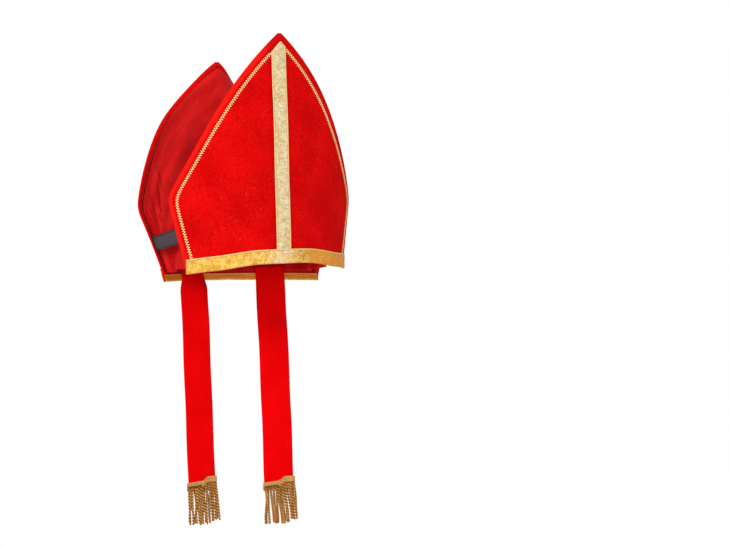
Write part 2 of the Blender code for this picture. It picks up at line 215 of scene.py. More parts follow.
def bend_at(panel, t):
    """One over the radius of a panel's bend at height t: the back peak's sides curl back."""
    high = np.maximum(t, 0.0) / panel.height
    bend = panel.hem_bend + (panel.peak_bend - panel.hem_bend) * t / panel.height
    return bend - panel.curl * high**CURL_POWER


def unit(vectors):
    return vectors / np.maximum(np.linalg.norm(vectors, axis=-1, keepdims=True), 1e-12)


def smooth(value):
    x = np.clip(value, 0.0, 1.0)
    return x * x * (3.0 - 2.0 * x)


def bell(value, width):
    return np.exp(-((value / width) ** 2))


def summed(steps):
    return np.r_[0.0, np.cumsum(steps)]


def matched(*values):
    return np.broadcast_arrays(*(np.asarray(value, float) for value in values))


def hem_wave(panel, s, t):
    """How the front hem dips towards the wearer's right and lifts a little towards the left."""
    dip = RIGHT_DIP * smooth((-s - 0.025) / 0.065)
    lift = LEFT_LIFT * bell(s - 0.045, 0.038) + CORNER_LIFT * smooth((s - 0.085) / 0.04)
    return (lift - dip) * (1.0 - smooth(t / DIP_HEIGHT)) * (panel is FRONT)


def on_panel(panel, s, t, out=0.0):
    """Points of a standing panel at (s, t) of its flat pattern, moved outward by out."""
    s, t, out = matched(s, t, out)

    def middle(s, t):
        turn = bend_at(panel, t) * s
        high = np.maximum(t, 0.0) / panel.height
        depth = MOUTH_DEPTH / 2 + t * math.sin(panel.lean) - panel.bow * high**2
        depth = depth - s * np.sin(turn / 2) * np.sinc(turn / 2 / pi)
        wave = np.sin(31 * s + 17 * t + panel.side) * np.sin(23 * t - 12 * s + 1.3)
        depth = depth + RIPPLE * wave * np.minimum(t / 0.03, 1.0)
        x = s * np.sinc(turn / pi) + panel.skew * high**2
        z = t * math.cos(panel.lean) - panel.lower + hem_wave(panel, s, t)
        return np.stack([x, panel.side * depth, z], -1)

    step = 0.0005
    normal = np.cross(
        middle(s + step, t) - middle(s - step, t),
        middle(s, t + step) - middle(s, t - step),
    )
    normal = unit(normal * np.sign(normal[..., 1:2] * panel.side))
    return middle(s, t) + normal * out[..., None]


def outline(panel, inset, bottom, steps=700):
    """(s, t) points up one side of a panel, inset from its edge, and how far along they are."""
    t = np.linspace(-panel.hem_drop, panel.height, steps)
    s = half_width(panel, t)
    ds = np.gradient(s)
    dt = np.gradient(t)
    length = np.hypot(ds, dt)
    inner_s = s - inset * dt / length
    inner_t = t + inset * ds / length
    rising = np.r_[True, np.diff(np.maximum.accumulate(inner_t)) > 1e-7]
    keep = rising & (inner_s > 0.0) & (inner_t > bottom)
    inner_s = np.r_[half_width(panel, bottom) - inset, inner_s[keep], 0.0]
    slope = (inner_t[keep][-1] - inner_t[keep][-2]) / (inner_s[-2] - inner_s[-3])
    top = inner_t[keep][-1] - slope * inner_s[-2]
    inner_t = np.r_[bottom, inner_t[keep], top]
    return inner_s, inner_t, summed(np.hypot(np.diff(inner_s), np.diff(inner_t)))


def along_line(line, at):
    """The (s, t) places that lie this far along a line, as outline() gives it."""
    line_s, line_t, gone = line
    return np.interp(at, gone, line_s), np.interp(at, gone, line_t)


def zigzag_line(panel):
    """The middle line of the zigzag up one side of a panel, cutting the shoulder's corner."""
    foot = ZIGZAG_FOOT - ZIGZAG_FOOT_DROP * panel.hem_drop
    line_s, line_t, gone = outline(panel, ZIGZAG_INSET, foot)
    apart = (gone[:, None] - gone) / CORNER_CUT
    weight = np.exp(-0.5 * apart**2)
    weight /= weight.sum(axis=1, keepdims=True)
    near = bell(line_t - SHOULDER_HEIGHT, 0.030)
    line_s = line_s + near * (weight @ line_s - line_s)
    line_t = line_t + near * (weight @ line_t - line_t)
    return line_s, line_t, summed(np.hypot(np.diff(line_s), np.diff(line_t)))


def put_in_scene(name, points, faces, finish, attributes):
    """Makes a smooth mesh object, with numbers for its shader at each point."""
    mesh = bpy.data.meshes.new(name)
    mesh.from_pydata(np.asarray(points).tolist(), [], faces)
    mesh.materials.append(finish)
    mesh.shade_smooth()
    for kind, values in attributes.items():
        values = np.asarray(values, np.float32)
        if values.ndim > 1:
            layer = mesh.attributes.new(kind, "FLOAT_VECTOR", "POINT")
            layer.data.foreach_set("vector", values.ravel())
        else:
            mesh.attributes.new(kind, "FLOAT", "POINT").data.foreach_set("value", values)
    made = bpy.data.objects.new(name, mesh)
    bpy.context.scene.collection.objects.link(made)
    return made


def cloth(name, middle, wall, flat, finish, relief=0.0, marks=None, rounds=3, turned=False):
    """A closed sheet of cloth with a rounded rim, from a grid of points of its middle.

    relief lifts the face, which turned puts on the grid's other side. The finish reads flat,
    the cut-flat place in millimetres with 1 on the face and -1 behind, and the marks by name.
    """
    rows, columns = middle.shape[:2]
    count = rows * columns
    number = np.arange(count).reshape(rows, columns)
    border = np.r_[number[0], number[1:, -1], number[-1, -2::-1], number[-2:0:-1, 0]]
    way = slice(None, None, -1 if turned else 1)
    middle = middle[:, way]
    normal = unit(np.cross(np.gradient(middle, axis=1), np.gradient(middle, axis=0)))
    middle, normal = middle.reshape(-1, 3), normal.reshape(-1, 3)
    relief = np.broadcast_to(relief, (rows, columns))[:, way].reshape(-1, 1)
    half = wall / 2
    edge, upright = middle[border], normal[border]
    outward = unit(np.cross(np.roll(edge, -1, axis=0) - np.roll(edge, 1, axis=0), upright))
    points = [middle + normal * (half + relief), middle - normal * half]
    sides = [np.ones(count), -np.ones(count)]
    for k in range(1, rounds + 1):
        turn = pi / 2 - pi * k / (rounds + 1)
        points.append(edge + outward * half * math.cos(turn) + upright * half * math.sin(turn))
        sides.append(np.full(len(border), math.sin(turn)))
    quads = np.stack(
        [number[:-1, :-1], number[:-1, 1:], number[1:, 1:], number[1:, :-1]], -1
    ).reshape(-1, 4)
    faces = [quads, quads[:, ::-1] + count]
    ring = border
    for k in range(rounds + 1):
        below = 2 * count + k * len(border) + np.arange(len(border))
        if k == rounds:
            below = border + count
        faces.append(np.stack([ring, below, np.roll(below, -1), np.roll(ring, -1)], -1))
        ring = below

    def everywhere(values):
        """A value of each point of the grid, for the face, the back and the rim's rounds."""
        return np.concatenate([values, values] + [values[border]] * rounds)

    flat = everywhere(flat[:, way].reshape(-1, 2))
    attributes = {"flat": np.column_stack([flat, np.r_[tuple(sides)]])}
    for mark, value in (marks or {}).items():
        attributes[mark] = everywhere(np.broadcast_to(value, (rows, columns))[:, way].ravel())
    faces = np.concatenate(faces).tolist()
    return put_in_scene(name, np.concatenate(points), faces, finish, attributes)


def new_finish(name, roughness, metallic=0.0, specular=0.5, gloss=WHITE):
    """A material with one Principled shader: gives the material, its tree and the shader."""
    finish = bpy.data.materials.new(name)
    finish.use_nodes = True
    shader = fill(finish.node_tree.nodes["Principled BSDF"], {
        "Roughness": roughness, "Metallic": metallic, "Specular IOR Level": specular,
        "Specular Tint": gloss,
    })
    return finish, finish.node_tree, shader


def cut_flat(tree):
    return add(tree, "Attribute", attribute_name="flat").outputs["Vector"]


def split(vector):
    return tuple(add(vector.id_data, "SeparateXYZ", {0: vector}).outputs)


def maths(operation, *values):
    tree = next(value for value in values if isinstance(value, bpy.types.NodeSocket)).id_data
    return add(tree, "Math", dict(enumerate(values)), operation=operation).outputs[0]


def times(first, second):
    return maths("MULTIPLY", first, second)


def away_from(value, centre):
    return maths("ABSOLUTE", maths("SUBTRACT", value, centre))


def ramp(value, low, high, to_low=0.0, to_high=1.0):
    """Eases from to_low to to_high as value goes from low to high."""
    inputs = {0: value, 1: low, 2: high, 3: to_low, 4: to_high}
    return add(value.id_data, "MapRange", inputs, interpolation_type="SMOOTHSTEP").outputs[0]


def blend(share, first, second):
    inputs = {0: share, 6: first, 7: second}
    return add(share.id_data, "Mix", inputs, data_type="RGBA").outputs[2]


def noise(vector, scale, detail=2.0):
    inputs = {"Vector": vector, "Scale": scale, "Detail": detail}
    return add(vector.id_data, "TexNoise", inputs).outputs[0]


def colour_and_bump(shader, colour, height, distance, strength):
    inputs = {"Height": height, "Strength": strength, "Distance": distance}
    fill(shader, {"Base Color": colour, "Normal": add(shader.id_data, "Bump", inputs)})


def velour_finish(name, streaks, specked, bright, dark, specular):
    """Short red pile, mottled and streaked: dark where it is sewn through, partly painted
    shade; a painted shadow by the seam inside its rim; a painted highlight along the rim.

    Its sheets are marked in millimetres: from_edge, from_line, the zigzag, and from_ribbon.
    """
    # The first colour below is a painted highlight, used along the rim.
    painted_rim_highlight_red = (0.97, 0.0120, 0.0060, 1.0)
    speck = (0.93, 0.035, 0.022, 1.0)
    # The colour below is painted shade: the thread's shadow and needle holes by the zigzag, and
    # the shadow along the seam inside.
    sewn = (0.16, 0.002, 0.002, 1.0)
    shaded = (0.50, 0.0004, 0.0020, 1.0)
    finish, tree, shader = new_finish(name, 0.92, specular=specular)
    flat = cut_flat(tree)
    x, _, face = split(flat)
    from_edge, from_line, from_ribbon = (
        add(tree, "Attribute", attribute_name=mark).outputs["Fac"]
        for mark in ("from_edge", "from_line", "from_ribbon")
    )
    outer = ramp(face, 0.0, 0.5)
    inner = maths("SUBTRACT", 1.0, outer)
    combed = add(tree, "Mapping", {"Vector": flat, "Scale": (0.35, 0.02, 1.0)})
    mottle = maths("ADD", noise(flat, 0.45, 5.0), noise(flat, 0.020))
    combing = times(noise(combed, 1.0), streaks)
    pile = ramp(maths("ADD", mottle, combing), 0.81, 1.19 + streaks)
    colour = blend(pile, dark, bright)
    specks = ramp(noise(flat, 0.62, 1.0), 0.60, 0.72, 0.0, specked)
    specks = times(specks, ramp(noise(flat, 0.035), 0.38, 0.60))
    colour = blend(specks, colour, speck)
    # Painted highlight: the rim outside is lightened on the side the key lamp lights, and the
    # rim inside is lightened all round.
    painted_margin_highlight = ramp(from_edge, 5.0, 7.5, 0.85, 0.0)
    lit_side = ramp(x, -60.0, 40.0, 1.0, 0.0)
    painted_margin_highlight = times(times(painted_margin_highlight, lit_side), outer)
    painted_inner_rim_highlight = times(ramp(from_edge, 2.5, 4.5, 0.35, 0.0), inner)
    colour = blend(maths("ADD", painted_margin_highlight, painted_inner_rim_highlight), colour, painted_rim_highlight_red)
    # Painted shade next to the front ribbon, darkest close to it.
    shade_beside_ribbon = ramp(from_ribbon, 0.0, 9.0, 0.45, 0.0)
    colour = blend(times(shade_beside_ribbon, outer), colour, shaded)
    # Painted shade along the zigzag, partly its thread's shadow and partly the dark of its
    # needle holes; and a painted shadow line along the seam inside the rim.
    zigzag_shade_and_holes = times(ramp(from_line, 1.8, 3.2, 0.22, 0.0), outer)
    fold = times(ramp(away_from(from_edge, 7.6), 0.9, 2.2, 0.90, 0.0), inner)
    colour = blend(maths("MAXIMUM", zigzag_shade_and_holes, fold), colour, sewn)
    fill(shader, {
        "Sheen Weight": 0.06, "Sheen Roughness": 0.4, "Sheen Tint": (1.0, 0.08, 0.05, 1.0),
    })
    colour_and_bump(shader, colour, noise(flat, 1.3, 3.0), 0.0004, 0.35)
    return finish


panel_velour = velour_finish(
    "panel_velour", 0.14, 0.50, (0.78, 0.0026, 0.0026, 1.0), (0.57, 0.0008, 0.0014, 1.0), 0.030
)
BELOW_PEAK = np.array([0.0085, 0.007, 0.0057, 0.0045, 0.0036, 0.0028, 0.0021, 0.0016])
for panel in (FRONT, BACK):
    low, high = SHOULDER_HEIGHT - SHOULDER_ROUNDING, SHOULDER_HEIGHT + SHOULDER_ROUNDING
    heights = np.r_[
        np.linspace(PANEL_WALL / 2, low, 36)[:-1], np.linspace(low, high, 20),
        np.linspace(high, panel.height - 0.010, 84)[1:], panel.height - BELOW_PEAK,
    ]
    q = np.linspace(-1.0, 1.0, 121)
    share = 0.70 * q + 0.30 * np.sin(pi * q / 2)
    t = np.repeat(heights[:, None], len(q), axis=1)
    s = share * np.maximum(half_width(panel, t) - 0.6 * PANEL_WALL, 0.0003)
    t = t - panel.hem_drop * share**2 * (1 - np.minimum(t / SHOULDER_HEIGHT, 1))
    edge_t = np.linspace(-panel.hem_drop, panel.height, 300)
    edge_s = half_width(panel, edge_t)
    inside = np.hypot(np.abs(s)[..., None] - edge_s, t[..., None] - edge_t).min(axis=-1)
    line_s, line_t, _ = zigzag_line(panel)
    to_line = np.hypot(np.abs(s)[..., None] - line_s, t[..., None] - line_t).min(axis=-1)
    to_ribbon = np.full(s.shape, 0.030)
    if panel is FRONT:
        middle = FRONT_RIBBON_FOOT_SHIFT - FRONT_RIBBON_LEAN * t
        to_ribbon = np.abs(s - middle) - FRONT_RIBBON_HALF
    to_line = np.where(to_ribbon < 0.0, 0.020, to_line)
    relief = -PRESSED * bell(to_line, PRESSED_REACH)
    relief += 0.6 * PRESSED * bell(inside - ZIGZAG_INSET + 0.0055, 0.0025)
    roll = -EDGE_ROLL * bell(inside, ROLL_REACH)
    piece = cloth(
        panel.name + "_velour_panel", on_panel(panel, s, t, roll), PANEL_WALL,
        np.stack([s, t], -1) * 1000, panel_velour, relief,
        {
            "from_edge": inside * 1000, "from_line": to_line * 1000,
            "from_ribbon": to_ribbon * 1000,
        },
        turned=panel is BACK,
    )
    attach(piece, "root")
    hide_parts(panel.name + "_panel")
    levels = np.linspace(0.0, panel.height, 400)
    area = 2 * np.trapz(half_width(panel, levels), levels) + HEM_HALF * panel.hem_drop * 2 / 3


# The zigzag: a thick pale gold thread sewn in a close zigzag along both sides of each panel,
# a finger's breadth in from the edge. It presses a shallow groove into the pile.

THREAD = 0.00049
ZIGZAG_WIDTH = 0.0043
ZIGZAG_PITCH = 0.0033
GOLD_GLOSS = (1.0, 0.50, 0.12, 1.0)


def tubes(name, paths, normals, radius, finish, sides=6, ends=0.3, centres=None):
    """Closed tubes along many paths of the same number of points, as one mesh.

    Their finish reads flat: how squarely the point faces out of the cloth or of its rope,
    how far along it is in millimetres, and the number of its tube.
    """
    paths = np.asarray(paths, float)
    normals = np.broadcast_to(normals, paths.shape)
    many, count = paths.shape[:2]
    along = unit(np.gradient(paths, axis=1))
    side = unit(np.cross(along, normals))
    lift = np.cross(side, along)
    radii = np.broadcast_to(radius, (many, count)).copy()
    radii[:, 0] *= ends
    radii[:, -1] *= ends
    turn = np.linspace(0.0, 2 * pi, sides, endpoint=False)
    ring = np.cos(turn)[:, None] * side[:, :, None] + np.sin(turn)[:, None] * lift[:, :, None]
    points = paths[:, :, None] + radii[:, :, None, None] * ring
    number = np.arange(many * count * sides).reshape(many, count, sides)
    after = np.roll(number, -1, axis=2)
    faces = np.stack([number[:, :-1], after[:, :-1], after[:, 1:], number[:, 1:]], -1)
    faces = faces.reshape(-1, 4).tolist()
    for tube in number:
        faces += [tube[0, ::-1].tolist(), tube[-1].tolist()]
    away = lift if centres is None else unit(paths - centres)
    gone = np.linalg.norm(np.diff(paths, axis=1), axis=-1)
    flat = np.zeros((many, count, sides, 3))
    flat[..., 0] = (ring * away[:, :, None]).sum(axis=-1)
    flat[:, 1:, :, 1] = np.cumsum(gone, axis=1)[:, :, None] * 1000
    flat[..., 2] = np.arange(many)[:, None, None]
    return put_in_scene(
        name, points.reshape(-1, 3), faces, finish, {"flat": flat.reshape(-1, 3)}
    )


def thread_finish(name, light, dark, metallic, low, high, dullest, root=0.0):
    """Gold thread, with a painted highlight on the tops of its strands and painted shade
    between them and down to root millimetres.
    """
    finish, tree, shader = new_finish(name, 0.42, metallic, 0.3, GOLD_GLOSS)
    flat = cut_flat(tree)
    outward, along, _ = split(flat)
    # Painted shade and highlight: light where a strand or ply faces out, dark on its sides and
    # between strands, and dark near the root, where the heading shades it.
    painted_crown_light = ramp(outward, low, high)
    if root:
        painted_crown_light = times(painted_crown_light, ramp(along, 0.0, root))
    uneven = ramp(noise(flat, 0.5), 0.35, 0.62, dullest, 1.0)
    colour = blend(times(painted_crown_light, uneven), dark, light)
    colour_and_bump(shader, colour, noise(flat, 4.0), 0.0002, 0.4)
    return finish


# Its two colours are painted light: lighter where the thread faces out, darker on its shaded
# sides.
zigzag_thread = thread_finish(
    "zigzag_thread", (1.0, 0.78, 0.34, 1.0), (1.0, 0.48, 0.10, 1.0), 0.0, -0.6, 0.2, 0.95
)
STRAND_SHAPE = ((0.0, -0.35), (0.10, 0.45), (0.30, 0.95), (0.70, 0.95), (0.90, 0.45))
for panel in (FRONT, BACK):
    for side, mirror in (("left", 1), ("right", -1)):
        line = line_s, line_t, gone = zigzag_line(panel)
        end = gone[-1] - 0.001
        if panel is FRONT:
            middle = mirror * (FRONT_RIBBON_FOOT_SHIFT - FRONT_RIBBON_LEAN * line_t)
            end = gone[line_s > middle + FRONT_RIBBON_HALF][-1]
        strands = int(end / (ZIGZAG_PITCH / 2))
        knots = [
            ((strand + f) * ZIGZAG_PITCH / 2, (2 * f - 1) * (1 if strand % 2 else -1), lift)
            for strand in range(strands) for f, lift in STRAND_SHAPE
        ]
        at, swing, lift = np.array(knots).T
        s, t = along_line(line, at)
        ahead = np.subtract(along_line(line, at + 0.002), along_line(line, at - 0.002))
        along_s, along_t = unit(ahead.T).T * (swing * ZIGZAG_WIDTH / 2)
        s, t = s + along_t, t - along_s
        out = PANEL_WALL / 2 - PRESSED + lift * THREAD
        path = on_panel(panel, mirror * s, t, out)
        outside = unit(on_panel(panel, mirror * s, t, out + 0.01) - path)
        piece = tubes(
            panel.name + "_zigzag_" + side, path[None], outside[None], THREAD, zigzag_thread
        )
        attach(piece, "root")


# The linings: thin red satin sewn to the inside of each panel, within the velour that is
# turned over the edge. They show from below, in the mouth of the hat.

LAYER_GAP = 0.0007
SATIN = 0.0010
SEAM_INSET = 0.0083
LINING_INSET = 0.0098
LINING_BOTTOM = 0.0105
LINING_TOP = 0.261


def satin_finish(name, bright, dark):
    """Glossy red satin: a fine slanting twill, soft bands down its length, a red gloss."""
    finish, tree, shader = new_finish(name, 0.36, specular=0.24, gloss=(1.0, 0.16, 0.17, 1.0))
    flat = cut_flat(tree)
    drawn_out = add(tree, "Mapping", {"Vector": flat, "Scale": (0.060, 0.014, 1.0)})
    cloud = maths("MULTIPLY_ADD", noise(flat, 0.9, 3.0), 0.3, noise(drawn_out, 1.0))
    colour = blend(ramp(cloud, 0.42, 0.90), dark, bright)
    slanted = add(tree, "Mapping", {"Vector": flat, "Rotation": (0.0, 0.0, 0.6)})
    twill = add(tree, "TexWave", {"Vector": slanted, "Scale": 0.9, "Distortion": 0.6})
    colour_and_bump(shader, colour, twill.outputs["Fac"], 0.0002, 0.12)
    return finish


lining_satin = satin_finish(
    "lining_satin", (0.64, 0.007, 0.008, 1.0), (0.42, 0.002, 0.004, 1.0)
)
for panel in (FRONT, BACK):
    heights = np.linspace(0.0, LINING_TOP, 70)
    t = np.repeat(heights[:, None], 71, axis=1)
    level = 1 - np.minimum(t / SHOULDER_HEIGHT, 1)
    edge = half_width(panel, t)
    s = np.linspace(-1.0, 1.0, 71) * (edge - LINING_INSET)
    t = t + LINING_BOTTOM * level - panel.hem_drop * (s / edge) ** 2 * level
    seat = -PANEL_WALL / 2 - LAYER_GAP - SATIN / 2
    piece = cloth(
        panel.name + "_satin_lining", on_panel(panel, s, t, seat), 0.7 * SATIN,
        np.stack([s, t], -1) * 1000, lining_satin, rounds=1, turned=panel is BACK,
    )
    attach(piece, "root")
    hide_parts(panel.name + "_lining")
    area = np.trapz(2 * (half_width(panel, heights) - LINING_INSET), heights)


# The web: one piece of the same satin, sewn inside both panels and loose between them. It
# folds down into the cleft, its folds run out from the elastics, and its hem droops a little.
# Inside the back panel it keeps a few sharp creases.

WEB_BOTTOM = 0.0050
WEB_MOUTH_HALF = 0.106
WEB_CROWN = 0.095
WEB_SQUARENESS = 3.2
WEB_TURN = 3.5
WEB_SLACK = 0.0025
WEB_DROOP = 0.0045
FOLD_HEIGHT = 0.0045
FOLD_COUNT = 5
FOLD_CENTRE = (0.126, 0.062)
CRISP_FOLD = 0.0012
PUCKER = 0.00025
RIDGES = (
    (-0.0060, 0.2540, 0.0085, 0.2740, 0.0020, 0.0018),
    (-0.0215, 0.2680, -0.0290, 0.2480, 0.0022, 0.0012),
    (-0.1085, 0.1540, -0.1065, 0.1170, 0.0028, 0.0030),
    (-0.0960, 0.1620, -0.0860, 0.1350, 0.0035, 0.0018),
    (-0.1270, 0.0980, -0.1105, 0.0775, 0.0030, 0.0032),
    (-0.0930, 0.0725, -0.1105, 0.0775, 0.0030, 0.0028),
    (-0.1130, 0.0410, -0.0860, 0.0370, 0.0032, 0.0024),
    (-0.0515, 0.2120, -0.0560, 0.1800, 0.0030, 0.0014),
    (0.0860, 0.0370, 0.1150, 0.0560, 0.0032, 0.0028),
    (0.0700, 0.0200, 0.0950, 0.0260, 0.0028, 0.0022),
    (0.1100, 0.1400, 0.1180, 0.1050, 0.0028, 0.0028),
    (0.0520, 0.2080, 0.0580, 0.1740, 0.0030, 0.0016),
)


def ridges(s, t):
    """Height of the few sharp creases that the web keeps inside the back panel.

    Each runs from (s0, t0), where it is lowest, to (s1, t1), and has a width and a height.
    """
    height = 0.0 * s
    for s0, t0, s1, t1, width, high in RIDGES:
        share = ((s - s0) * (s1 - s0) + (t - t0) * (t1 - t0)) / ((s1 - s0)**2 + (t1 - t0)**2)
        share = np.clip(share, 0.0, 1.0)
        away = np.hypot(s - s0 - share * (s1 - s0), t - t0 - share * (t1 - t0))
        height = height + high * bell(away, width) * (0.4 + 0.6 * share)
    return height


def web_flank(panel, mirror, fractions, steps):
    """The web from its seam on one panel to the lowest line of the cleft, on one side."""
    line = _, _, gone = outline(panel, SEAM_INSET, WEB_BOTTOM)
    far_along = fractions[:, None] * gone[-1]
    seam_s, seam_t = along_line(line, far_along)
    angle = fractions * pi / 2
    power = 2 / WEB_SQUARENESS
    x = WEB_MOUTH_HALF * np.maximum(np.cos(angle), 0.0) ** power
    z = WEB_BOTTOM + (WEB_CROWN - WEB_BOTTOM) * np.sin(angle) ** power
    t_low = (z + panel.lower) / math.cos(panel.lean)
    bend = bend_at(panel, t_low)
    s_low = np.arcsin(bend * x) / bend
    v = np.linspace(0.0, 1.0, steps)[None, :]
    s = seam_s + (s_low[:, None] - seam_s) * v
    t = seam_t + (t_low[:, None] - seam_t) * v
    centre_s, centre_t = FOLD_CENTRE
    angle = np.arctan2(t - centre_t, centre_s - s)
    far = np.hypot(t - centre_t, centre_s - s)
    wave = 0.5 - 0.5 * np.cos(2 * pi * FOLD_COUNT * angle / (pi / 2))
    crisp = 0.5 - 0.5 * np.cos(15.0 * angle + 2.0 * np.sin(5.0 * angle + panel.side))
    folds = FOLD_HEIGHT * wave * smooth(far / 0.05) * smooth((0.24 - far) / 0.12)
    folds += CRISP_FOLD * crisp * smooth(far / 0.02) * smooth((0.11 - far) / 0.09)
    pucker = 1 + np.sin(far_along * 620 + 1.5 * np.sin(far_along * 110))
    pucker = PUCKER * pucker * smooth(v / 0.04) * smooth((0.20 - v) / 0.16)
    slack = WEB_SLACK * smooth(v / 0.3) + folds * smooth(v / 0.25) + pucker
    slack = slack + ridges(s * mirror, t) * smooth(v / 0.06) * (panel is BACK)
    seat = -PANEL_WALL / 2 - 2 * LAYER_GAP - 1.5 * SATIN
    hanging = on_panel(panel, s * mirror, t, seat - slack)
    valley = np.stack([x * mirror, 0 * x, z], -1)[:, None, :]
    share = (v**WEB_TURN)[..., None]
    flank = hanging * (1 - share) + valley * share
    low = bell(fractions[:, None], 0.05) * smooth(v / 0.35)
    flank[..., 2] -= WEB_DROOP * low * (0.8 + 0.2 * np.sin(9 * v + mirror))
    flank[..., 0] += mirror * 0.004 * low * np.sin(7 * v + panel.side)
    return flank


fractions = np.linspace(0.0, 1.0, 140)
halves = []
for mirror in (1, -1):
    front = web_flank(FRONT, mirror, fractions, 72)
    behind = web_flank(BACK, mirror, fractions, 72)
    halves.append(np.concatenate([front, behind[:, -2::-1]], axis=1))
web = np.concatenate([halves[1][:-1], halves[0][::-1]], axis=0)
down_web = summed(np.linalg.norm(np.diff(web, axis=0), axis=-1).mean(axis=1))
over_web = summed(np.linalg.norm(np.diff(web, axis=1), axis=-1).mean(axis=0))
web_satin = satin_finish("web_satin", (0.75, 0.013, 0.013, 1.0), (0.47, 0.004, 0.005, 1.0))
piece = cloth(
    "satin_web_cloth", web, 0.6 * SATIN, np.stack(np.meshgrid(over_web, down_web), -1) * 1000,
    web_satin, rounds=1,
)
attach(piece, "root")
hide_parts("satin_web")


# The seam stitches: a running stitch of pink-red thread that holds the turned velour, the
# lining and the web together, just outside the satin's edge inside each panel.

STITCH_INSET = 0.0070
STITCH_FOOT = 0.012
STITCH_PITCH = 0.0034
STITCH_LENGTH = 0.0016
STITCH_THREAD = 0.00028
seam_thread, _, shader = new_finish("seam_thread", 0.6, specular=0.3)
fill(shader, {"Base Color": (0.80, 0.16, 0.13, 1.0)})
for panel in (FRONT, BACK):
    line = _, _, gone = outline(panel, STITCH_INSET, STITCH_FOOT)
    starts = np.arange(0.002, gone[-1] - 0.004, STITCH_PITCH)
    s, t = along_line(line, starts[:, None] + np.linspace(0.0, STITCH_LENGTH, 5))
    lift = STITCH_THREAD * np.array([-0.8, 0.5, 0.8, 0.5, -0.8])
    out = -PANEL_WALL / 2 - lift - EDGE_ROLL * bell(STITCH_INSET, ROLL_REACH)
    paths = np.concatenate([on_panel(panel, m * s, t, out) for m in (-1, 1)])
    inside = np.concatenate([on_panel(panel, m * s, t, out - 0.01) for m in (-1, 1)])
    piece = tubes(
        panel.name + "_seam_stitches", paths, unit(inside - paths), STITCH_THREAD,
        seam_thread, sides=5,
    )
    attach(piece, "root")


# The hem ribbons: woven gold ribbon folded over each panel's hem and sewn through, with a
# corded edge above and a rounded fold below. It is cut off just past the panel's corners.

GAP = 0.0003
RIBBON = 0.0010
WOVEN = 0.0008
HEM_OUTSIDE = 0.0170
HEM_INSIDE = 0.0074
HEM_OVERHANG = 0.0012
FRONT_HEM_SHIFT = 0.0010
SELVEDGE_HEIGHT = 0.00028
SELVEDGE_HALF = 0.00045
SELVEDGE = (0.98, 0.68, 0.26, 1.0)
HEM_PALE = (0.94, 0.60, 0.12, 1.0)
HEM_DEEP = (0.78, 0.36, 0.025, 1.0)
# The copper below is painted light: red light reflected onto the hem's inner leg inside the
# hat, and painted shade at the front hem's end on the wearer's left.
COPPER_BOUNCE_AND_SHADE = (0.98, 0.34, 0.020, 1.0)


